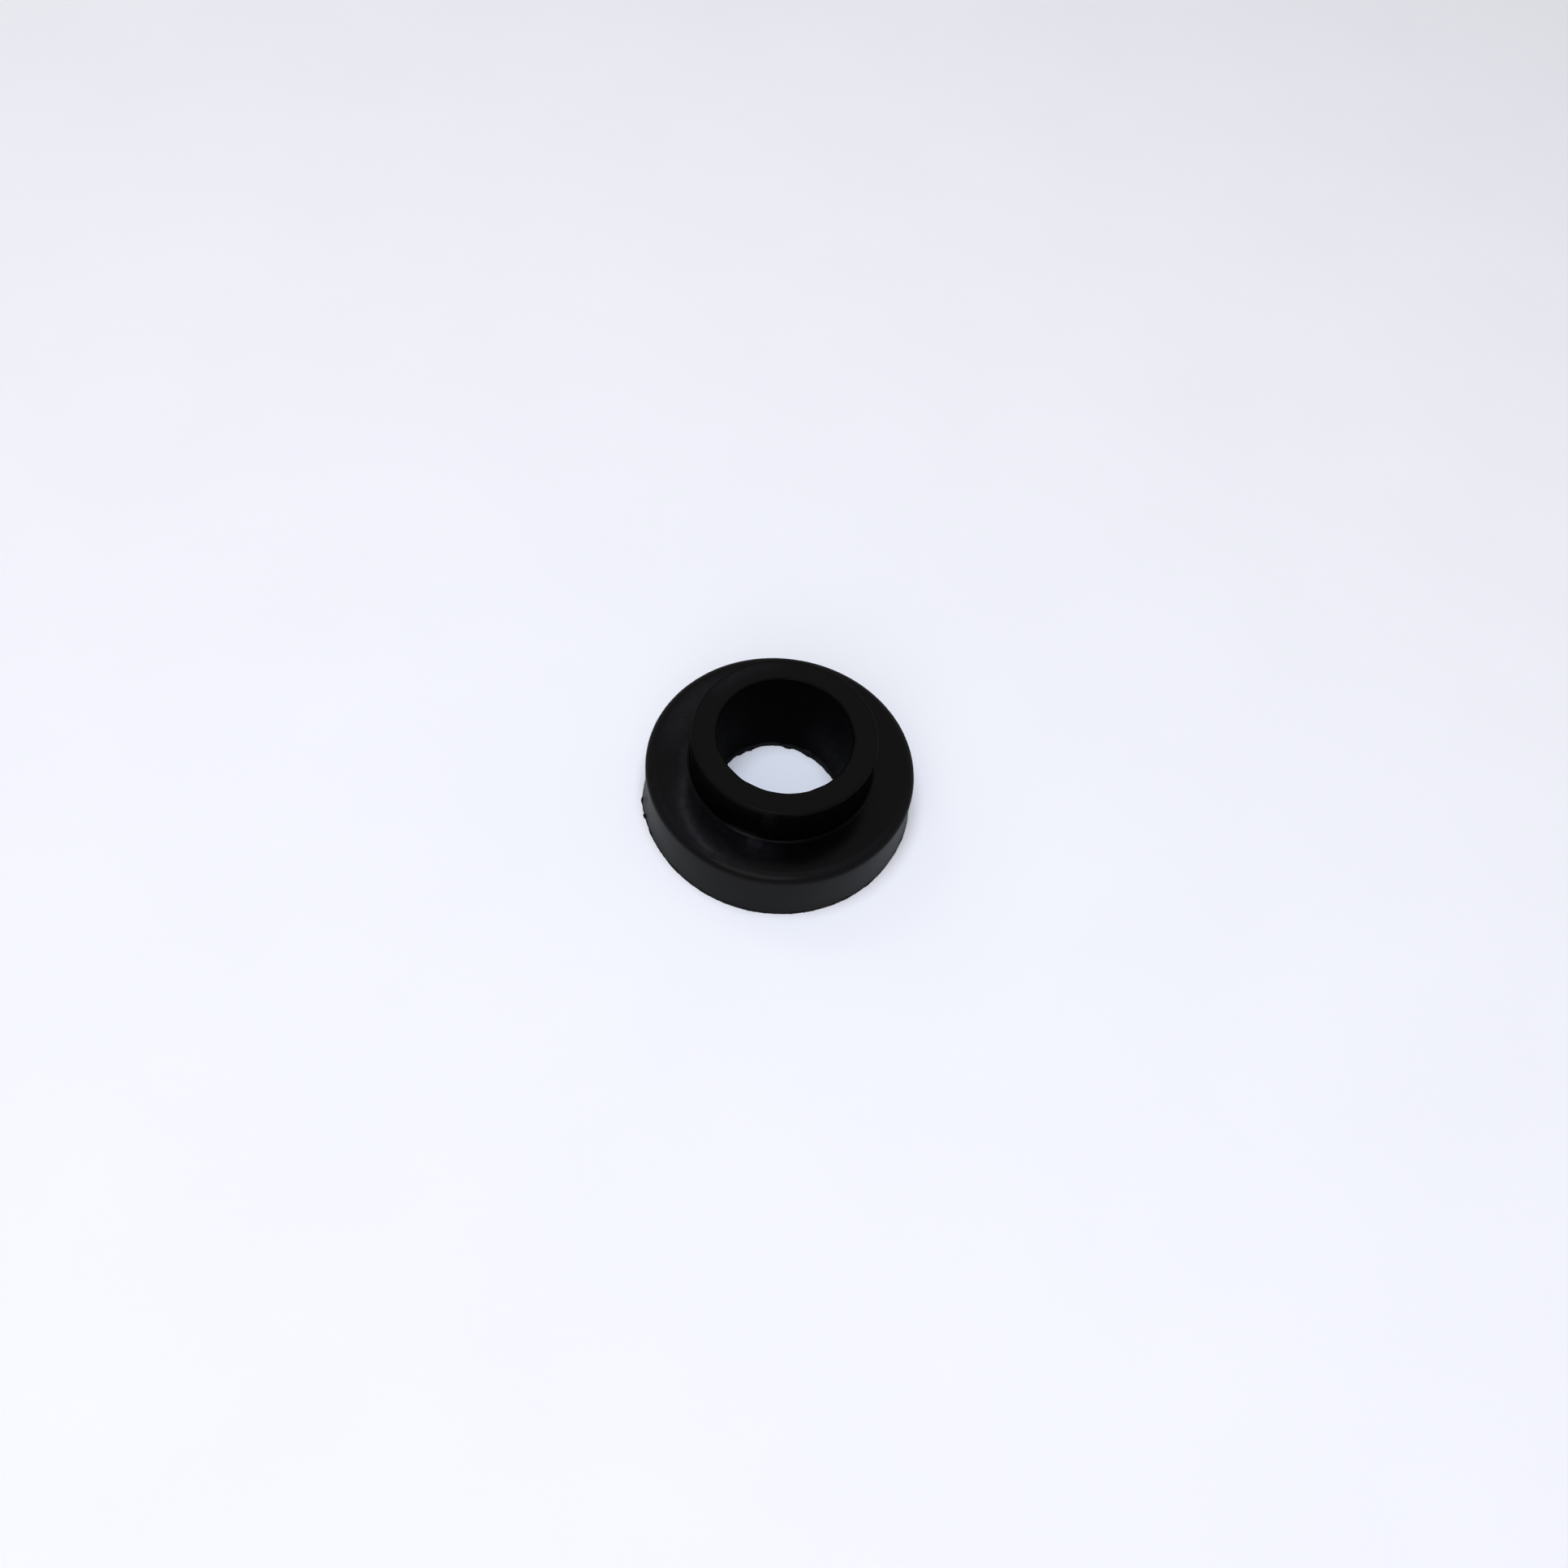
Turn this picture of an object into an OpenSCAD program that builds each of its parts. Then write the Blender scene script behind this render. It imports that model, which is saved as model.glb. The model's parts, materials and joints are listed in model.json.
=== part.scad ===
// Flanged rubber bushing: a thick round flange with a shorter hub standing on it and one
// straight bore through both, moulded in one piece.
//
// The part stands on the flat face of its flange. The origin is the centre of that face and
// +Z runs along the bore, out of the flange and through the hub. All sizes are millimetres.
//
// The mould opens at the flange's flat face, so the two edges in that plane, outside and
// round the bore, are square. Every other edge carries its own radius.

/* [Flange] */
// Diameter of the flange
flange_d = 38; // [30:0.1:80]
// Thickness of the flange, from its flat face up to the shoulder
flange_h = 9.5; // [2:0.1:30]
// Radius round the flange's upper outside edge
flange_edge_r = 1.2; // [0.1:0.05:1.9]

/* [Hub] */
// Diameter of the hub
hub_d = 25.7; // [21:0.1:34]
// Height of the hub above the shoulder
hub_h = 7; // [2:0.1:30]
// Radius round the hub's upper outside edge
hub_edge_r = 0.3; // [0.1:0.05:1.5]
// Radius of the hollow fillet where the hub meets the shoulder
hub_fillet_r = 0.4; // [0.1:0.05:1.5]

/* [Bore] */
// Diameter of the through bore
bore_d = 18.7; // [5:0.1:23]
// Radius round the mouth of the bore at the hub's end
bore_edge_r = 0.3; // [0.1:0.05:1.5]

/* [Hidden] */
// Flats that stand for a full turn wherever a round face is drawn as flats
$fn = 128;

flange_r = flange_d / 2;
hub_r = hub_d / 2;
bore_r = bore_d / 2;
overall_h = flange_h + hub_h;
moulded_black = "#1c1c1e";

// The sliver between a square corner and the arc of radius r that touches both its sides.
// at is the corner, and to gives the signs of the steps in x and y to the arc's centre.
module corner_sliver(at, to, r) {
    translate(at)
        difference() {
            translate([min(to.x, 0) * r, min(to.y, 0) * r]) square(r);
            translate(to * r) circle(r);
        }
}

// Upright rectangle of the half section, from radius r_in to r_out and from z = 0 up to h.
module ring_section(r_in, r_out, h) {
    translate([r_in, 0]) square([r_out - r_in, h]);
}

// Half section of the moulding, with x as the radius and y as the height.
module bushing_section() {
    difference() {
        union() {
            ring_section(bore_r, flange_r, flange_h);
            ring_section(bore_r, hub_r, overall_h);
            corner_sliver([hub_r, flange_h], [1, 1], hub_fillet_r);
        }
        corner_sliver([flange_r, flange_h], [-1, -1], flange_edge_r);
        corner_sliver([hub_r, overall_h], [-1, -1], hub_edge_r);
        corner_sliver([bore_r, overall_h], [1, -1], bore_edge_r);
    }
}

// The whole bushing, turned from its half section about the bore's axis.
module bushing() {
    color(moulded_black) rotate_extrude() bushing_section();
}

bushing();
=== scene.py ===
"""Looks of a flanged rubber bushing that lies on a sheet of white paper.

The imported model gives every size. One moulding stands for its plain solid and adds what the mould
and the trimming left on the real piece: the torn lip round the bottom of the bore, the flare and
the remains of the flash round the foot of the flange, and edges that aren't quite even.

Lengths are in metres unless a name ends in _mm. Azimuths are in degrees, from +X towards +Y.
"""

import json
import logging
import math
from dataclasses import dataclass, field
from enum import Enum

import bpy
import numpy as np
from mathutils import Matrix, Vector


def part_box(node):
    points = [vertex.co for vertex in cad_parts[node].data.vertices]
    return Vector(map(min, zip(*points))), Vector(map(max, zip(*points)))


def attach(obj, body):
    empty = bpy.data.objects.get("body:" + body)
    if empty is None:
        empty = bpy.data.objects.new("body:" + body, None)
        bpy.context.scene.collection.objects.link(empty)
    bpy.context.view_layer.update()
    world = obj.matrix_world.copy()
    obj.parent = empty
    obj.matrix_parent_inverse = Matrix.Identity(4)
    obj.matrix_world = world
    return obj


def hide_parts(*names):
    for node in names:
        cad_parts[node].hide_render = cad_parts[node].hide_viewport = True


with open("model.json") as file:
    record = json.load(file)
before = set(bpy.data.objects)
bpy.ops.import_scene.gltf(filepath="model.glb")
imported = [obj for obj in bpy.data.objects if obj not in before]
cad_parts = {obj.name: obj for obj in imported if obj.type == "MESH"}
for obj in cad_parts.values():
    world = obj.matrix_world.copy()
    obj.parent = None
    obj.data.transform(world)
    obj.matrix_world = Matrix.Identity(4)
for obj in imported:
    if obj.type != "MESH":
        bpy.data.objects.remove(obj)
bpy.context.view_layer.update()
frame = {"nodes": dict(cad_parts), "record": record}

MM = 0.001
NODE = "bushing"
BODY = "root"
# The mesh attribute that says how far along the outline a point lies.
ALONG = "along"

log = logging.getLogger("bushing")


# --------------------------------------------------------------------------- small tools


def linear(hex_colour: str) -> tuple[float, float, float, float]:
    """Turn an sRGB colour into the linear one that shaders take.

    Args:
        hex_colour: Six hex digits after a #.

    Returns:
        Red, green, blue and an alpha of 1.
    """
    shares = [int(hex_colour[i : i + 2], 16) / 255 for i in (1, 3, 5)]
    red, green, blue = (s / 12.92 if s <= 0.04045 else ((s + 0.055) / 1.055) ** 2.4 for s in shares)
    return red, green, blue, 1.0


def per_metre(size_mm: float) -> float:
    """Return the texture scale at which one feature of a pattern is size_mm wide."""
    return 1 / (size_mm * MM)


def add_node(
    tree: bpy.types.NodeTree, kind: str, settings: dict | None = None, links: dict | None = None
) -> bpy.types.Node:
    """Add a node to a tree, with its settings and what feeds it.

    Args:
        tree: The material's or world's node tree.
        kind: Blender's name for the node.
        settings: Values by property name, or by the name or number of an input socket.
        links: Output sockets by the name or number of the input that each one feeds.

    Returns:
        The new node.
    """
    node = tree.nodes.new(kind)
    for key, value in (settings or {}).items():
        if isinstance(key, int) or key in node.inputs:
            node.inputs[key].default_value = value
        else:
            setattr(node, key, value)
    for key, source in (links or {}).items():
        tree.links.new(source, node.inputs[key])
    return node


def new_material(name: str) -> tuple[bpy.types.Material, bpy.types.NodeTree]:
    """Make an empty node material.

    Args:
        name: The material's name.

    Returns:
        The material and its cleared node tree.
    """
    material = bpy.data.materials.new(name)
    material.use_nodes = True
    material.node_tree.nodes.clear()
    return material, material.node_tree


def away_from(azimuths: np.ndarray, at_deg: float) -> np.ndarray:
    """Return how far each azimuth is from at_deg, the short way round, in degrees."""
    return (azimuths - at_deg + 180) % 360 - 180


# --------------------------------------------------------------------------- the half section


@dataclass(frozen=True)
class Ripple:
    """An uneven line that closes on itself after a full turn.

    Attributes:
        size: The line's usual height, in millimetres or as a share of what it makes uneven.
        fewest: The number of waves in a turn of its slowest part.
        most: The number of waves in a turn of its quickest part.
        seed: Picks the line.
    """

    size: float
    fewest: int
    most: int
    seed: int

    def at(self, azimuths: np.ndarray) -> np.ndarray:
        """Work out the line.

        Args:
            azimuths: Where the line is wanted, in degrees.

        Returns:
            Heights of the usual size, with a mean of 0.
        """
        dice = np.random.default_rng(self.seed)
        line = np.zeros_like(azimuths)
        for waves in range(self.fewest, self.most + 1):
            line += dice.normal() * np.cos(np.radians(waves * azimuths + dice.uniform(0, 360)))
        return self.size * (line / line.std())


class Zone(Enum):
    """The named stretches of the half section, in order from the bottom of the bore."""

    LIP = "torn lip"
    BORE = "bore"
    MOUTH = "mouth of the bore"
    HUB_END = "end of the hub"
    HUB_EDGE = "edge of the hub"
    HUB_WALL = "wall of the hub"
    FILLET = "foot of the hub"
    SHOULDER = "shoulder"
    FLANGE_EDGE = "edge of the flange"
    FLANGE_WALL = "wall of the flange"
    FLASH = "flash round the foot"
    UNDERSIDE = "underside"


@dataclass(frozen=True)
class Tear:
    """A place where the rubber tore off or flowed further out than elsewhere.

    Attributes:
        at_deg: The azimuth of its middle.
        width_deg: How wide it is where it reaches half as far as in the middle.
        reach_mm: How much further it reaches in the middle.
        steepness: How steeply it drops at its ends.
    """

    at_deg: float
    width_deg: float
    reach_mm: float
    steepness: int = 6

    def reach(self, azimuths: np.ndarray) -> np.ndarray:
        """Return how far the rubber stands out at each azimuth, in millimetres."""
        away = 2 * away_from(azimuths, self.at_deg) / self.width_deg
        return self.reach_mm / (1 + np.abs(away) ** self.steepness)


@dataclass
class HalfSection:
    """The outline of the moulding on one side of its axis, at every azimuth at once.

    A point is a complex number: its real part is the radius and its imaginary part the height.
    Each stretch is an array of such points with a row for each ring and a column for each azimuth.
    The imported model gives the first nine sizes. The rest say what the mould and the trimming left.
    A ripple makes its size uneven by a share of it, but the ragged edges are in millimetres.
    """

    flange_r: float
    flange_h: float
    flange_edge_r: float
    hub_r: float
    hub_edge_r: float
    hub_fillet_r: float
    overall_h: float
    bore_r: float
    bore_edge_r: float

    hub_edge_ripple: Ripple = Ripple(0.1, 3, 12, seed=30)
    fillet_ripple: Ripple = Ripple(0.12, 3, 14, seed=31)
    mouth_ripple: Ripple = Ripple(0.15, 5, 24, seed=32)
    # The bore's mouth is rounder in front, by this share of its radius.
    mouth_fuller: float = 0.8
    mouth_fuller_at_deg: float = 290
    mouth_fuller_spread_deg: float = 80

    # The crease that runs round the bore over the lip.
    crease_height_mm: float = 0.62
    crease_depth_mm: float = 0.05
    crease_ripple: Ripple = Ripple(0.16, 4, 30, seed=33)

    # The torn lip: its usual and least reach into the bore, and how thick its edge is.
    lip_mm: float = 0.16
    lip_least_mm: float = 0.03
    lip_edge_mm: float = 0.12
    lip_edge_ripple: Ripple = Ripple(0.25, 8, 50, seed=34)
    lip_ragged: tuple[Ripple, ...] = (Ripple(0.035, 9, 40, seed=11), Ripple(0.02, 41, 130, seed=12))
    lip_tears: tuple[Tear, ...] = (
        Tear(57, 40, 0.28),
        Tear(87, 7, 0.24),
        Tear(122.5, 6, 0.28),
        Tear(131, 9, 0.24),
        Tear(147, 8, 0.14),
        Tear(214, 12, 0.15),
        Tear(268, 9, 0.2),
    )
    # How far the lip's corners stand out, as shares of its reach.
    lip_foot_share: float = 0.7
    lip_back_share: float = 0.8

    # How far up the wall the flares run, and how quickly they open towards the foot.
    flare_height_mm: float = 4.0
    flare_curve: float = 1.5
    flares: tuple[Tear, ...] = (
        Tear(191, 16, 0.4, steepness=2),
        Tear(204, 34, 0.13, steepness=4),
        Tear(0, 27, 0.45, steepness=3),
    )

    # The flash round the foot: its usual and least reach, and how thick it is.
    flash_mm: float = 0.035
    flash_least_mm: float = 0.01
    flash_height_mm: float = 0.42
    flash_height_ripple: Ripple = Ripple(0.3, 6, 40, seed=35)
    flash_ragged: tuple[Ripple, ...] = (Ripple(0.018, 12, 60, seed=21), Ripple(0.012, 61, 200, seed=22))
    # The first two are nubs.
    flash_tears: tuple[Tear, ...] = (
        Tear(192, 2.4, 0.14),
        Tear(199.6, 2.0, 0.25),
        Tear(206, 8, 0.05),
        Tear(24, 5, 0.12),
        Tear(71, 11, 0.06),
        Tear(128, 4, 0.15),
    )
    # How far the flash's corners stand out, and how far up the wall it runs, as shares of its reach.
    flash_back_share: float = 0.75
    flash_foot_share: float = 0.8
    flash_climb_share: float = 0.35

    # The height of the nose of the lip and of the flash, as a share of their own.
    nose_share: float = 0.55

    @classmethod
    def from_frame(cls) -> "HalfSection":
        """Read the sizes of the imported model.

        Returns:
            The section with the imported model's radii and heights.
        """
        touching = 0.01 * MM
        low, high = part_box(NODE)
        mounts = {m["name"]: m for m in frame["record"]["mounts"]}
        flange_r = (high.x - low.x) / 2
        vertices = frame["nodes"][NODE].data.vertices
        points = np.empty(3 * len(vertices))
        vertices.foreach_get("co", points)
        x, y, z = points.reshape(-1, 3).T
        on_wall = np.hypot(x, y) > flange_r - touching
        shoulder_z = mounts["shoulder"]["pos_m"][2]
        hub, bore = mounts["hub_outside"], mounts["bore"]
        half_hub, half_bore = (m["dims"]["length_mm"] * MM / 2 for m in (hub, bore))
        return cls(
            flange_r=flange_r,
            flange_h=shoulder_z,
            flange_edge_r=shoulder_z - float(z[on_wall].max()),
            hub_r=hub["dims"]["r_mm"] * MM,
            hub_edge_r=high.z - hub["pos_m"][2] - half_hub,
            hub_fillet_r=hub["pos_m"][2] - half_hub - shoulder_z,
            overall_h=high.z,
            bore_r=bore["dims"]["r_mm"] * MM,
            bore_edge_r=high.z - bore["pos_m"][2] - half_bore,
        )

    @staticmethod
    def straight(start: np.ndarray, end: np.ndarray, rings: int) -> np.ndarray:
        """Lay rings on a straight stretch, the first at its start and none at its end."""
        steps = np.linspace(0, 1, rings, endpoint=False)[:, None]
        return start + (end - start) * steps

    @staticmethod
    def arc(
        centre: np.ndarray, radius: np.ndarray, from_deg: float, to_deg: float, rings: int
    ) -> np.ndarray:
        """Lay rings on an arc, the first at its start and none at its end."""
        turns = np.radians(np.linspace(from_deg, to_deg, rings, endpoint=False))[:, None]
        return centre + radius * np.exp(1j * turns)

    def lip_reach(self, azimuths: np.ndarray) -> np.ndarray:
        """Work out how far the lip stands into the bore.

        Args:
            azimuths: Where it is wanted, in degrees.

        Returns:
            The reach at each azimuth, in metres.
        """
        ragged = sum(ripple.at(azimuths) for ripple in self.lip_ragged)
        reach = self.lip_mm + ragged + sum(tear.reach(azimuths) for tear in self.lip_tears)
        return np.clip(reach, self.lip_least_mm, None) * MM

    def flash_reach(self, azimuths: np.ndarray) -> np.ndarray:
        """Work out how far the flash stands out round the foot.

        Args:
            azimuths: Where it is wanted, in degrees.

        Returns:
            The reach at each azimuth, in metres.
        """
        ragged = sum(ripple.at(azimuths) for ripple in self.flash_ragged)
        reach = self.flash_mm + ragged + sum(tear.reach(azimuths) for tear in self.flash_tears)
        return np.clip(reach, self.flash_least_mm, None) * MM

    def flare_reach(self, azimuths: np.ndarray, heights: np.ndarray) -> np.ndarray:
        """Return how far the flange's wall flares out at each azimuth and height, in metres."""
        down = np.clip(1 - heights / (self.flare_height_mm * MM), 0, 1)
        return down**self.flare_curve * sum(flare.reach(azimuths) for flare in self.flares) * MM

    def mouth_radius(self, azimuths: np.ndarray) -> np.ndarray:
        """Work out how round the bore's mouth is.

        Args:
            azimuths: Where it is wanted, in degrees.

        Returns:
            The mouth's own radius at each azimuth, in metres.
        """
        away = away_from(azimuths, self.mouth_fuller_at_deg) / self.mouth_fuller_spread_deg
        fuller = self.mouth_fuller * np.exp(-(away**2))
        return self.bore_edge_r * (1 + self.mouth_ripple.at(azimuths) + fuller)

    def bore_foot(self, azimuths: np.ndarray) -> list[np.ndarray]:
        """Lay out the lip and the crease over it.

        Args:
            azimuths: Where the outline is wanted, in degrees.

        Returns:
            The corners from the lip's foot up to the plain wall of the bore.
        """
        lip = self.lip_reach(azimuths)
        lip_edge = self.lip_edge_mm * MM * (1 + self.lip_edge_ripple.at(azimuths))
        crease = self.crease_height_mm * MM * (1 + self.crease_ripple.at(azimuths))
        crease_in = self.crease_depth_mm * MM
        return [
            self.bore_r - self.lip_foot_share * lip + 0j,
            self.bore_r - lip + 1j * self.nose_share * lip_edge,
            self.bore_r - self.lip_back_share * lip + 1j * lip_edge,
            self.bore_r + crease_in + 1j * crease,
            self.bore_r + 1j * (crease + 2 * crease_in),
        ]

    def flange_foot(self, azimuths: np.ndarray) -> list[np.ndarray]:
        """Lay out the flash round the foot of the flange.

        Args:
            azimuths: Where the outline is wanted, in degrees.

        Returns:
            The corners from the lower end of the flange's wall down to the underside.
        """
        flash = self.flash_reach(azimuths)
        flash_top = self.flash_height_mm * MM * (1 + self.flash_height_ripple.at(azimuths))
        wall_foot_z = flash_top + self.flash_climb_share * flash
        foot_r = self.flange_r + self.flare_reach(azimuths, wall_foot_z)
        return [
            foot_r + 1j * wall_foot_z,
            foot_r + self.flash_back_share * flash + 1j * flash_top,
            foot_r + flash + 1j * self.nose_share * flash_top,
            foot_r + self.flash_foot_share * flash + 0j,
        ]

    def stretches(self, azimuths: np.ndarray) -> list[tuple[Zone, np.ndarray]]:
        """Lay out the whole outline, round from the bottom of the bore and back to it.

        Args:
            azimuths: Where the outline is wanted, in degrees.

        Returns:
            Each zone with its rings.
        """
        top, shelf = 1j * self.overall_h, 1j * self.flange_h
        mouth = self.mouth_radius(azimuths)
        hub_edge = self.hub_edge_r * (1 + self.hub_edge_ripple.at(azimuths))
        fillet = self.hub_fillet_r * (1 + self.fillet_ripple.at(azimuths))
        flange_edge = self.flange_edge_r * np.ones_like(azimuths)

        under_lip = self.bore_r * np.ones_like(azimuths) + 0j
        lip_foot, lip_nose, lip_back, in_crease, over_crease = self.bore_foot(azimuths)
        bore_top = self.bore_r + top - 1j * mouth
        mouth_at = self.bore_r + mouth + top - 1j * mouth
        hub_edge_at = self.hub_r - hub_edge + top - 1j * hub_edge
        fillet_at = self.hub_r + fillet + shelf + 1j * fillet
        flange_edge_at = self.flange_r - flange_edge + shelf - 1j * flange_edge
        wall_foot, flash_back, flash_nose, flash_foot = self.flange_foot(azimuths)

        plain_foot = self.flange_r + 1j * wall_foot.imag
        flange_wall = self.straight(flange_edge_at + flange_edge, plain_foot, rings=12)
        flange_wall += self.flare_reach(azimuths, flange_wall.imag)
        shoulder_end = flange_edge_at + 1j * flange_edge

        return [
            (Zone.LIP, self.straight(lip_foot, lip_nose, rings=2)),
            (Zone.LIP, self.straight(lip_nose, lip_back, rings=2)),
            (Zone.LIP, self.straight(lip_back, in_crease, rings=4)),
            (Zone.LIP, self.straight(in_crease, over_crease, rings=2)),
            (Zone.BORE, self.straight(over_crease, bore_top, rings=10)),
            (Zone.MOUTH, self.arc(mouth_at, mouth, 180, 90, rings=5)),
            (Zone.HUB_END, self.straight(mouth_at + 1j * mouth, hub_edge_at + 1j * hub_edge, rings=6)),
            (Zone.HUB_EDGE, self.arc(hub_edge_at, hub_edge, 90, 0, rings=9)),
            (Zone.HUB_WALL, self.straight(hub_edge_at + hub_edge, fillet_at - fillet, rings=8)),
            (Zone.FILLET, self.arc(fillet_at, fillet, 180, 270, rings=6)),
            (Zone.SHOULDER, self.straight(fillet_at - 1j * fillet, shoulder_end, rings=17)),
            (Zone.FLANGE_EDGE, self.arc(flange_edge_at, flange_edge, 90, 0, rings=8)),
            (Zone.FLANGE_WALL, flange_wall),
            (Zone.FLASH, self.straight(wall_foot, flash_back, rings=2)),
            (Zone.FLASH, self.straight(flash_back, flash_nose, rings=2)),
            (Zone.FLASH, self.straight(flash_nose, flash_foot, rings=2)),
            (Zone.UNDERSIDE, self.straight(flash_foot, under_lip, rings=4)),
            (Zone.UNDERSIDE, self.straight(under_lip, lip_foot, rings=1)),
        ]


# --------------------------------------------------------------------------- the finishes


class Layer(Enum):
    """What a mark changes, by the name under which the mesh carries it: painted highlights and reflections in
    the colour, or worn film in the sheen.
    """

    # Painted light: a pale grey mixed into the colour where highlights and reflections are painted.
    BLOOM = "painted_light"
    WORN = "worn"


@dataclass(frozen=True)
class RubberFinish:
    """Rubber filled with carbon black, as one face of the mould leaves it.

    The black is deep because the carbon takes nearly all the light that enters, so what the eye
    sees is the sheen of the wax film that covers a share of the skin. Where the film is worn off
    the skin is dull. Pale marks paint highlights and reflections into the colour, broken up by
    noise. The lathe that turned the mould leaves fine rings on everything that the mould touches.
    """

    name: str
    black: str
    haze: str
    painted_light_colour: str
    roughness: float
    roughness_spread: float
    specular_level: float
    film_share: float
    film_roughness: float
    grain_mm: float
    grain_height_mm: float
    rings_mm: float
    rings_height_mm: float
    haze_mm: float = 4.5
    light_breakup_mm: float = 0.9
    rubber_ior: float = 1.52
    wax_ior: float = 1.36

    def colour(
        self, tree: bpy.types.NodeTree, place: bpy.types.NodeSocket, haze: bpy.types.NodeSocket
    ) -> bpy.types.NodeSocket:
        """Cloud the black with haze and paint pale highlights and reflections over it.

        Args:
            tree: The material's node tree.
            place: Where a point is on the piece.
            haze: How hazy the skin is there.

        Returns:
            The colour.
        """
        # Painted highlights and reflections: the marks' layer, broken up by noise, mixes a pale grey into the
        # black.
        painted_light = add_node(tree, "ShaderNodeAttribute", {"attribute_name": Layer.BLOOM.value})
        patches = add_node(tree, "ShaderNodeMapRange", {"From Min": 0.35, "From Max": 0.7}, {"Value": haze})
        hazed = add_node(
            tree,
            "ShaderNodeMix",
            {"data_type": "RGBA", 6: linear(self.black), 7: linear(self.haze)},
            {0: patches.outputs["Result"]},
        )
        light_breakup = add_node(
            tree,
            "ShaderNodeTexNoise",
            {"Scale": per_metre(self.light_breakup_mm), "Detail": 3.0, "Roughness": 0.6},
            {"Vector": place},
        )
        light_breakup_share = add_node(
            tree,
            "ShaderNodeMapRange",
            {"From Min": 0.3, "From Max": 0.7, "To Min": 0.6, "To Max": 1.4},
            {"Value": light_breakup.outputs["Fac"]},
        )
        patchy_light = add_node(
            tree,
            "ShaderNodeMath",
            {"operation": "MULTIPLY"},
            {0: painted_light.outputs["Fac"], 1: light_breakup_share.outputs["Result"]},
        )
        colour = add_node(
            tree,
            "ShaderNodeMix",
            {"data_type": "RGBA", 7: linear(self.painted_light_colour)},
            {0: patchy_light.outputs["Value"], 6: hazed.outputs[2]},
        )
        return colour.outputs[2]

    def relief(self, tree: bpy.types.NodeTree, place: bpy.types.NodeSocket) -> bpy.types.NodeSocket:
        """Raise the grain over the rings that the lathe left in the mould.

        Args:
            tree: The material's node tree.
            place: Where a point is on the piece.

        Returns:
            The normal.
        """
        along = add_node(tree, "ShaderNodeAttribute", {"attribute_name": ALONG})
        grain = add_node(
            tree,
            "ShaderNodeTexNoise",
            {"Scale": per_metre(self.grain_mm), "Detail": 3.0, "Roughness": 0.6},
            {"Vector": place},
        )
        rings = add_node(
            tree,
            "ShaderNodeTexNoise",
            {"noise_dimensions": "1D", "Scale": per_metre(self.rings_mm), "Detail": 2.0},
            {"W": along.outputs["Fac"]},
        )
        ring_relief = add_node(
            tree,
            "ShaderNodeBump",
            {"Strength": 1.0, "Distance": self.rings_height_mm * MM},
            {"Height": rings.outputs["Fac"]},
        )
        relief = add_node(
            tree,
            "ShaderNodeBump",
            {"Strength": 1.0, "Distance": self.grain_height_mm * MM},
            {"Height": grain.outputs["Fac"], "Normal": ring_relief.outputs["Normal"]},
        )
        return relief.outputs["Normal"]

    def material(self) -> bpy.types.Material:
        """Make the material.

        Returns:
            A node material with haze and painted highlights and reflections in its colour, wear in its
            sheen, and grain and rings in its relief.
        """
        material, tree = new_material(self.name)
        place = add_node(tree, "ShaderNodeTexCoord").outputs["Object"]
        worn = add_node(tree, "ShaderNodeAttribute", {"attribute_name": Layer.WORN.value})
        haze = add_node(
            tree,
            "ShaderNodeTexNoise",
            {"Scale": per_metre(self.haze_mm), "Detail": 4.0, "Roughness": 0.55},
            {"Vector": place},
        ).outputs["Fac"]
        film_left = add_node(
            tree,
            "ShaderNodeMapRange",
            {"To Min": self.film_share, "To Max": 0.0},
            {"Value": worn.outputs["Fac"]},
        )
        sheen = add_node(
            tree,
            "ShaderNodeMapRange",
            {
                "To Min": self.roughness - self.roughness_spread,
                "To Max": self.roughness + self.roughness_spread,
            },
            {"Value": haze},
        )
        relief = self.relief(tree, place)
        shader = add_node(
            tree,
            "ShaderNodeBsdfPrincipled",
            {
                "IOR": self.rubber_ior,
                "Specular IOR Level": self.specular_level,
                "Coat Roughness": self.film_roughness,
                "Coat IOR": self.wax_ior,
            },
            {
                "Base Color": self.colour(tree, place, haze),
                "Roughness": sheen.outputs["Result"],
                "Coat Weight": film_left.outputs["Result"],
                "Normal": relief,
                "Coat Normal": relief,
            },
        )
        add_node(tree, "ShaderNodeOutputMaterial", None, {"Surface": shader.outputs["BSDF"]})
        return material


# Moulded skin: semi-matt, so walls at a slant pick up the paper and level faces stay dark. Its
# real grain and rings are a few hundredths of a millimetre wide, too fine to show, so both are
# drawn as coarse as needed.
MOULDED_SKIN = RubberFinish(
    name="black_rubber_moulded_skin",
    black="#020202",
    haze="#030304",
    # The pale grey of the painted highlights and reflections.
    painted_light_colour="#1f1f23",
    roughness=0.38,
    roughness_spread=0.05,
    specular_level=0.0,
    film_share=0.262,
    film_roughness=0.21,
    grain_mm=0.16,
    grain_height_mm=0.006,
    rings_mm=0.22,
    rings_height_mm=0.002,
)

# Bore wall: left dull and open-grained by the rough core pin, so it hardly mirrors the paper. Its
# rings are drawn coarser than the real ones too.
BORE_SKIN = RubberFinish(
    name="black_rubber_core_pin_bore",
    black="#010102",
    haze="#030304",
    # The pale grey of the painted reflection of the paper low in the bore and of the painted highlight on the
    # lip.
    painted_light_colour="#1f1f21",
    roughness=0.8,
    roughness_spread=0.08,
    specular_level=0.02,
    film_share=0.0,
    film_roughness=0.5,
    grain_mm=0.3,
    grain_height_mm=0.03,
    rings_mm=0.4,
    rings_height_mm=0.002,
    haze_mm=1.2,
)


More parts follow.
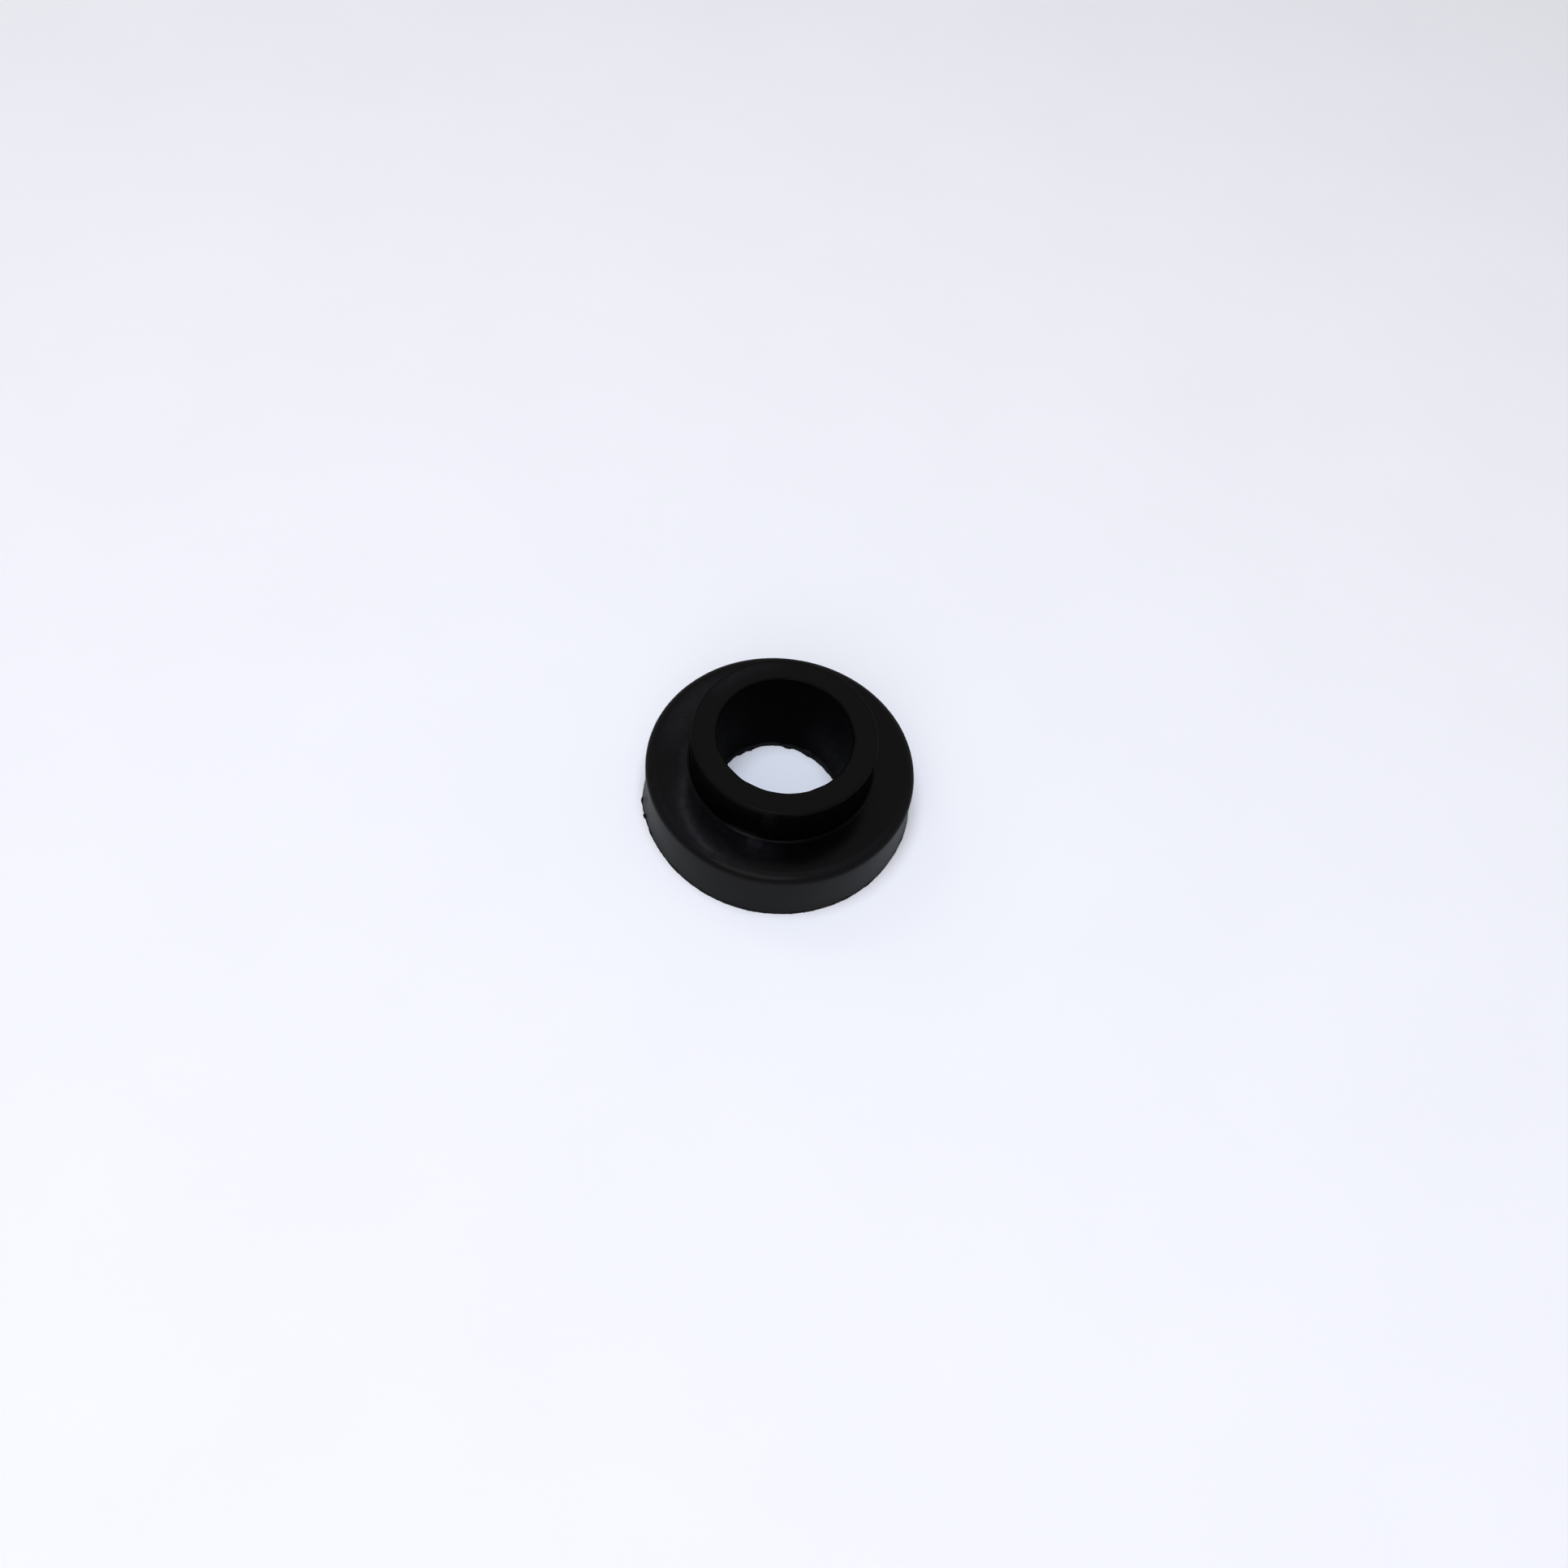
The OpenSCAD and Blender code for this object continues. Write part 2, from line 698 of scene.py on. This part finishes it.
@dataclass(frozen=True)
class PaperFinish:
    """Uncoated white paper, which scatters nearly all light evenly and has a faint tooth."""

    name: str = "white_uncoated_paper"
    white: str = "#f5f5f8"
    shade: str = "#f1f1f4"
    cloud_mm: float = 28.0
    tooth_mm: float = 0.35
    tooth_height_mm: float = 0.01
    roughness: float = 0.9
    specular_level: float = 0.2

    def material(self) -> bpy.types.Material:
        """Make the material.

        Returns:
            A node material with faint clouds in its white and a fine tooth.
        """
        material, tree = new_material(self.name)
        place = add_node(tree, "ShaderNodeTexCoord").outputs["Object"]
        clouds = add_node(
            tree, "ShaderNodeTexNoise", {"Scale": per_metre(self.cloud_mm), "Detail": 2.0}, {"Vector": place}
        )
        white = add_node(
            tree,
            "ShaderNodeMix",
            {"data_type": "RGBA", 6: linear(self.shade), 7: linear(self.white)},
            {0: clouds.outputs["Fac"]},
        )
        tooth = add_node(
            tree, "ShaderNodeTexNoise", {"Scale": per_metre(self.tooth_mm), "Detail": 3.0}, {"Vector": place}
        )
        relief = add_node(
            tree,
            "ShaderNodeBump",
            {"Distance": self.tooth_height_mm * MM},
            {"Height": tooth.outputs["Fac"]},
        )
        shader = add_node(
            tree,
            "ShaderNodeBsdfPrincipled",
            {"Roughness": self.roughness, "Specular IOR Level": self.specular_level},
            {"Base Color": white.outputs[2], "Normal": relief.outputs["Normal"]},
        )
        add_node(tree, "ShaderNodeOutputMaterial", None, {"Surface": shader.outputs["BSDF"]})
        return material


# --------------------------------------------------------------------------- the moulding


@dataclass(frozen=True)
class Mark:
    """A soft-edged mark that keeps to one zone of the skin.

    Attributes:
        layer: What the mark changes.
        zone: The zone that it keeps to.
        at_deg: The azimuth of its middle.
        width_deg: How wide it is. Its middle is even, and it fades quickly at its ends.
        share: How far along the zone its middle lies, from 0 at the zone's first ring to 1.
        height: How far it fades along the zone, as a share of the zone. A large one is even.
        strength: 1 covers the skin fully, and more makes up for thin spots in the noise that breaks up
            painted light.
    """

    layer: Layer
    zone: Zone
    at_deg: float
    width_deg: float
    share: float = 0.5
    height: float = 9.0
    strength: float = 1.0

    def cover(self, outline: np.ndarray, azimuths: np.ndarray) -> np.ndarray:
        """Work out how strong the mark is at each point of its zone.

        Args:
            outline: The zone's rings by azimuths, as complex points.
            azimuths: The azimuth of each column, in degrees.

        Returns:
            Strengths in the shape of outline.
        """
        across = (np.linspace(0, 1, outline.shape[0]) - self.share) / self.height
        around = 2 * away_from(azimuths, self.at_deg) / self.width_deg
        return self.strength * np.exp(-(across[:, None] ** 2) - around[None, :] ** 4)


@dataclass(frozen=True)
class Bow(Mark):
    """A bowed streak, along a circle whose centre lies off the axis.

    Its angles are those round that centre. A thinner veil fills the inside of the circle.

    Attributes:
        centre_y_mm: Where the circle's centre lies along Y.
        radius_mm: The circle's radius.
        half_width_mm: How far from the circle the streak is half as strong.
        veil: The veil's strength, as a share of the streak's.
    """

    centre_y_mm: float = 0.0
    radius_mm: float = 10.0
    half_width_mm: float = 0.6
    veil: float = 0.0

    def cover(self, outline: np.ndarray, azimuths: np.ndarray) -> np.ndarray:
        """Work out how strong the streak is at each point of its zone.

        Args:
            outline: The zone's rings by azimuths, as complex points.
            azimuths: The azimuth of each column, in degrees.

        Returns:
            Strengths in the shape of outline.
        """
        seen = outline.real * np.exp(1j * np.radians(azimuths)) - 1j * self.centre_y_mm * MM
        beyond = (np.abs(seen) / MM - self.radius_mm) / self.half_width_mm
        around = 2 * away_from(np.degrees(np.angle(seen)), self.at_deg) / self.width_deg
        veil = self.veil * (beyond < 0)
        return self.strength * np.maximum(1 / (1 + beyond**2), veil) * np.exp(-(around**4))


@dataclass
class Moulding:
    """The whole bushing, which is one moulding of black rubber."""

    section: HalfSection
    # How many steps make a turn, and the bend from which an edge is drawn sharp.
    steps: int = 864
    sharp_deg: float = 38.0
    sag_mm: float = 0.02
    # The fewest and most waves in a turn of each kind of sag, from the slowest to the quickest.
    sag_waves: tuple[tuple[int, int], ...] = ((1, 4), (3, 9), (6, 18))
    # How many lines of sag there are of each kind.
    sag_lines: int = 3
    sag_seed: int = 50
    marks: tuple[Mark, ...] = ()
    azimuths: np.ndarray = field(init=False)

    def __post_init__(self) -> None:
        """Space the azimuths evenly round the turn."""
        self.azimuths = np.arange(self.steps) * 360 / self.steps

    def uneven(self, outline: np.ndarray) -> np.ndarray:
        """Pull the outline in and out a little, as rubber does when it cools.

        Args:
            outline: Rings by azimuths, as complex points.

        Returns:
            How far each point moves along the outline's own normal, in metres.
        """
        share = np.linspace(0, 1, outline.shape[0], endpoint=False)[:, None]
        sag = np.zeros(outline.shape)
        for kind, (fewest, most) in enumerate(self.sag_waves):
            for number in range(self.sag_lines):
                seed = self.sag_seed + self.sag_lines * kind + number
                line = Ripple(1.0, fewest, most, seed).at(self.azimuths)[None, :]
                waves = share * (2 * number + kind + 1) + number / self.sag_lines
                sag += line * np.cos(2 * math.pi * waves) / (kind + 1)
        return sag * self.sag_mm * MM / self.sag_lines

    def build(self) -> bpy.types.Object:
        """Make the mesh: one closed skin of rings round the axis.

        Returns:
            The moulding's object, linked to the scene.
        """
        stretches = self.section.stretches(self.azimuths)
        outline = np.concatenate([rings for _, rings in stretches])
        zones = [zone for zone, rings in stretches for _ in rings]
        ahead = np.roll(outline, -1, axis=0) - np.roll(outline, 1, axis=0)
        normal = 1j * ahead / np.abs(ahead)
        moved = outline + normal * self.uneven(outline) * self.may_move(zones)
        turn = np.radians(self.azimuths)
        points = np.stack([moved.real * np.cos(turn), moved.real * np.sin(turn), moved.imag], axis=-1)
        mesh = bpy.data.meshes.new("bushing_moulding")
        mesh.from_pydata(points.reshape(-1, 3), [], self.faces(len(zones)).tolist())
        mesh.validate()
        self.paint(mesh, outline, zones)
        mesh.shade_smooth()
        mesh.set_sharp_from_angle(angle=math.radians(self.sharp_deg))
        piece = bpy.data.objects.new("bushing_moulding", mesh)
        bpy.context.scene.collection.objects.link(piece)
        return piece

    def faces(self, rings: int) -> np.ndarray:
        """Join each ring to the next and the last to the first.

        Args:
            rings: How many rings go round the outline.

        Returns:
            The four corners of each face, ring by ring.
        """
        ring = np.arange(rings)[:, None]
        step = np.arange(self.steps)[None, :]
        next_ring = (ring + 1) % rings
        next_step = (step + 1) % self.steps
        corners = [
            ring * self.steps + step,
            next_ring * self.steps + step,
            next_ring * self.steps + next_step,
            ring * self.steps + next_step,
        ]
        return np.stack(corners, axis=-1).reshape(-1, 4)

    def may_move(self, zones: list[Zone]) -> np.ndarray:
        """Return a column that holds the underside still, because the bushing stands on it."""
        still = (Zone.UNDERSIDE, Zone.LIP, Zone.FLASH)
        return np.array([0.0 if zone in still else 1.0 for zone in zones])[:, None]

    def paint(self, mesh: bpy.types.Mesh, outline: np.ndarray, zones: list[Zone]) -> None:
        """Store what the finishes read: the way along the outline, and the marks of each layer.

        Args:
            mesh: The moulding's mesh.
            outline: Rings by azimuths, as complex points.
            zones: The zone of each ring.
        """
        way = np.abs(np.diff(outline[:, 0], prepend=outline[0, 0])).cumsum()
        layers = {ALONG: np.repeat(way[:, None], self.steps, axis=1)}
        layers |= {layer.value: np.zeros(outline.shape) for layer in Layer}
        for mark in self.marks:
            rows = [i for i, zone in enumerate(zones) if zone is mark.zone]
            cover = layers[mark.layer.value]
            cover[rows] = np.maximum(cover[rows], mark.cover(outline[rows], self.azimuths))
        for name, values in layers.items():
            attribute = mesh.attributes.new(name, "FLOAT", "POINT")
            attribute.data.foreach_set("value", values.astype(np.float32).ravel())

    def dress(self, piece: bpy.types.Object) -> None:
        """Give the bore its dull finish and the rest of the skin its semi-matt one.

        Args:
            piece: The moulding's object.
        """
        piece.data.materials.append(MOULDED_SKIN.material())
        piece.data.materials.append(BORE_SKIN.material())
        stretches = self.section.stretches(self.azimuths)
        in_bore = [zone in (Zone.BORE, Zone.LIP) for zone, rings in stretches for _ in rings]
        index = np.repeat(np.array(in_bore, dtype=np.int32), self.steps)
        piece.data.polygons.foreach_set("material_index", index)

    def place(self, piece: bpy.types.Object) -> None:
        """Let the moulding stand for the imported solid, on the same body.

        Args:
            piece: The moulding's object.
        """
        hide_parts(NODE)
        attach(piece, BODY)


# Handling has worn the wax off the edges. The pale marks are painted light: the bow is a painted
# reflection of the hub's edge, a pale crescent on the shoulder, and the others paint the paper's
# reflection in the walls and the bore, and highlights on the lip, the fillet and the edges. A
# width over 360 goes evenly round the whole turn.
MARKS = (
    Mark(Layer.WORN, Zone.HUB_EDGE, 90, 900, share=1.0, height=0.6, strength=0.5),
    Mark(Layer.WORN, Zone.HUB_EDGE, 90, 200, share=1.0, height=0.8, strength=0.85),
    Mark(Layer.WORN, Zone.FLANGE_EDGE, 90, 190, share=1.0, height=0.4, strength=0.8),
    Mark(Layer.WORN, Zone.MOUTH, 90, 900, strength=0.5),
    Mark(Layer.WORN, Zone.FILLET, 90, 900, strength=0.5),
    Mark(Layer.WORN, Zone.FILLET, 318, 80, strength=0.75),
    # Painted reflection of the hub's edge, as a pale crescent on the shoulder.
    Bow(Layer.BLOOM, Zone.SHOULDER, 214, 92, centre_y_mm=-5.5, radius_mm=13.0, veil=0.2, strength=0.85),
    # Painted highlights and reflections of the lamps and the paper, on the shoulder, edges, walls, bore and
    # lip.
    Mark(Layer.BLOOM, Zone.SHOULDER, 262, 9, share=0.1, height=0.4, strength=0.6),
    Mark(Layer.BLOOM, Zone.SHOULDER, 262, 30, share=0.3, height=0.5, strength=0.2),
    Mark(Layer.BLOOM, Zone.SHOULDER, 186, 24, share=0.05, height=0.2, strength=0.35),
    Mark(Layer.BLOOM, Zone.SHOULDER, 150, 60, share=0.6, height=0.5, strength=0.35),
    Mark(Layer.BLOOM, Zone.FLANGE_EDGE, 268, 150, share=0.1, height=0.35, strength=0.2),
    Mark(Layer.BLOOM, Zone.FLANGE_EDGE, 246, 26, share=0.12, height=0.3, strength=0.42),
    Mark(Layer.BLOOM, Zone.HUB_END, 128, 50, share=0.9, height=0.35, strength=0.3),
    Mark(Layer.BLOOM, Zone.FILLET, 254, 20, strength=0.5),
    Mark(Layer.BLOOM, Zone.HUB_WALL, 222, 90, share=0.0, height=0.35, strength=0.12),
    Mark(Layer.BLOOM, Zone.HUB_WALL, 186, 26, share=0.1, height=0.9, strength=0.38),
    Mark(Layer.BLOOM, Zone.HUB_WALL, 268, 9, share=0.1, height=0.5, strength=0.22),
    Mark(Layer.BLOOM, Zone.BORE, 35, 60, share=0.25, height=0.3, strength=0.45),
    Mark(Layer.BLOOM, Zone.BORE, 148, 40, share=0.45, height=0.2, strength=0.12),
    Mark(Layer.BLOOM, Zone.FLANGE_WALL, 196, 30, strength=0.45),
    Mark(Layer.BLOOM, Zone.LIP, 90, 900, strength=0.7),
    Mark(Layer.BLOOM, Zone.LIP, 108, 22, strength=2.0),
    Mark(Layer.BLOOM, Zone.LIP, 45, 30, strength=1.2),
)


# --------------------------------------------------------------------------- the studio


@dataclass(frozen=True)
class Lamp:
    """A round soft lamp that faces the bushing.

    Attributes:
        name: What the lamp is called.
        azimuth_deg: The side that it hangs on.
        elevation_deg: How high it hangs.
        distance: How far it hangs from the origin.
        width: How wide its disc is.
        brightness: How bright its face is, which stays the same when its width changes.
        tint: Its colour.
        in_sheen: Whether its mirror image shows in the skin.
    """

    name: str
    azimuth_deg: float
    elevation_deg: float
    distance: float
    width: float
    brightness: float
    tint: str = "#ffffff"
    in_sheen: bool = True

    def build(self) -> bpy.types.Object:
        """Hang the lamp.

        Returns:
            The lamp, hidden from the camera.
        """
        lamp = bpy.data.lights.new(self.name, "AREA")
        lamp.shape = "DISK"
        lamp.size = self.width
        lamp.energy = self.brightness * math.pi * self.width**2
        lamp.color = linear(self.tint)[:3]
        turn, tilt = math.radians(self.azimuth_deg), math.radians(self.elevation_deg)
        way = Vector((math.cos(turn) * math.cos(tilt), math.sin(turn) * math.cos(tilt), math.sin(tilt)))
        hung = bpy.data.objects.new(self.name, lamp)
        hung.location = way * self.distance
        hung.rotation_mode = "QUATERNION"
        hung.rotation_quaternion = way.to_track_quat("Z", "Y")
        hung.visible_camera = False
        hung.visible_glossy = self.in_sheen
        bpy.context.scene.collection.objects.link(hung)
        return hung


@dataclass(frozen=True)
class Studio:
    """The sheet of paper, the lamps and the camera."""

    sheet_side: float = 6.0
    gap_mm: float = 0.01
    sky: str = "#ffe8cb"
    sky_brightness: float = 0.2
    backdrop: str = "#f7f7fa"
    backdrop_brightness: float = 1.0
    lamps: tuple[Lamp, ...] = (
        Lamp("ceiling_lamp", 250, 82, 1.0, width=0.55, brightness=8.7, tint="#e2edff", in_sheen=False),
        Lamp("front_lamp", 262, 45, 1.0, width=0.9, brightness=1.2, tint="#fffaf4"),
        Lamp("window_lamp", 150, 40, 1.2, width=0.6, brightness=0.8, tint="#ffe6c0", in_sheen=False),
    )
    camera_elevation_deg: float = 57.0
    camera_roll_deg: float = 8.7
    camera_distance: float = 0.209
    aim_height: float = 0.00475
    aim_right_mm: float = 0.79
    aim_down_mm: float = 0.5
    lens_mm: float = 33.5
    sensor_mm: float = 36.0
    nearest_seen: float = 0.01
    furthest_seen: float = 20.0

    def build_paper(self) -> bpy.types.Object:
        """Lay the paper a hair under the bushing.

        Returns:
            The paper.
        """
        half = self.sheet_side / 2
        height = -self.gap_mm * MM
        corners = [(-half, -half, height), (half, -half, height), (half, half, height), (-half, half, height)]
        mesh = bpy.data.meshes.new("paper_sheet")
        mesh.from_pydata(corners, [], [(0, 1, 2, 3)])
        mesh.materials.append(PaperFinish().material())
        paper = bpy.data.objects.new("paper_sheet", mesh)
        bpy.context.scene.collection.objects.link(paper)
        return paper

    def light(self) -> None:
        """Set the even sky, the plain backdrop seen in its place, and the lamps."""
        world = bpy.data.worlds.new("studio")
        world.use_nodes = True
        tree = world.node_tree
        tree.nodes.clear()
        ray = add_node(tree, "ShaderNodeLightPath").outputs
        mirrored = add_node(
            tree,
            "ShaderNodeMath",
            {"operation": "MAXIMUM"},
            {0: ray["Is Glossy Ray"], 1: ray["Is Transmission Ray"]},
        )
        looked_at = add_node(
            tree,
            "ShaderNodeMath",
            {"operation": "MAXIMUM"},
            {0: ray["Is Camera Ray"], 1: mirrored.outputs["Value"]},
        )
        sky = add_node(
            tree,
            "ShaderNodeBackground",
            {"Color": linear(self.sky), "Strength": self.sky_brightness},
        )
        backdrop = add_node(
            tree,
            "ShaderNodeBackground",
            {"Color": linear(self.backdrop), "Strength": self.backdrop_brightness},
        )
        seen = add_node(
            tree,
            "ShaderNodeMixShader",
            None,
            {0: looked_at.outputs["Value"], 1: sky.outputs["Background"], 2: backdrop.outputs["Background"]},
        )
        add_node(tree, "ShaderNodeOutputWorld", None, {"Surface": seen.outputs["Shader"]})
        bpy.context.scene.world = world
        for lamp in self.lamps:
            lamp.build()

    def build_camera(self) -> bpy.types.Object:
        """Place the camera, which looks down from the front with its right side a little high.

        Returns:
            The camera, set as the scene's own.
        """
        tilt, roll = math.radians(self.camera_elevation_deg), math.radians(self.camera_roll_deg)
        back = Vector((0, -math.cos(tilt), math.sin(tilt)))
        level, rise = Vector((1, 0, 0)), Vector((0, math.sin(tilt), math.cos(tilt)))
        right = math.cos(roll) * level + math.sin(roll) * rise
        up = math.cos(roll) * rise - math.sin(roll) * level
        aim = Vector((0, 0, self.aim_height)) + right * self.aim_right_mm * MM - up * self.aim_down_mm * MM
        lens = bpy.data.cameras.new("camera")
        lens.lens = self.lens_mm
        lens.sensor_width = self.sensor_mm
        lens.clip_start = self.nearest_seen
        lens.clip_end = self.furthest_seen
        camera = bpy.data.objects.new("camera", lens)
        facing = Matrix((right, up, back)).transposed().to_4x4()
        camera.matrix_world = Matrix.Translation(aim + back * self.camera_distance) @ facing
        bpy.context.scene.collection.objects.link(camera)
        bpy.context.scene.camera = camera
        return camera


# --------------------------------------------------------------------------- the whole


def main() -> None:
    """Build the moulding and the studio round it."""
    logging.basicConfig(level=logging.INFO, format="%(name)s: %(message)s")
    bpy.context.scene.view_settings.view_transform = "Standard"
    studio = Studio()
    studio.build_camera()
    paper = studio.build_paper()
    log.info("%s: %g m square", paper.name, studio.sheet_side)
    studio.light()
    moulding = Moulding(section=HalfSection.from_frame(), marks=MARKS)
    piece = moulding.build()
    moulding.dress(piece)
    moulding.place(piece)
    log.info("%s: %d faces", piece.name, len(piece.data.polygons))


if __name__ == "__main__":
    main()
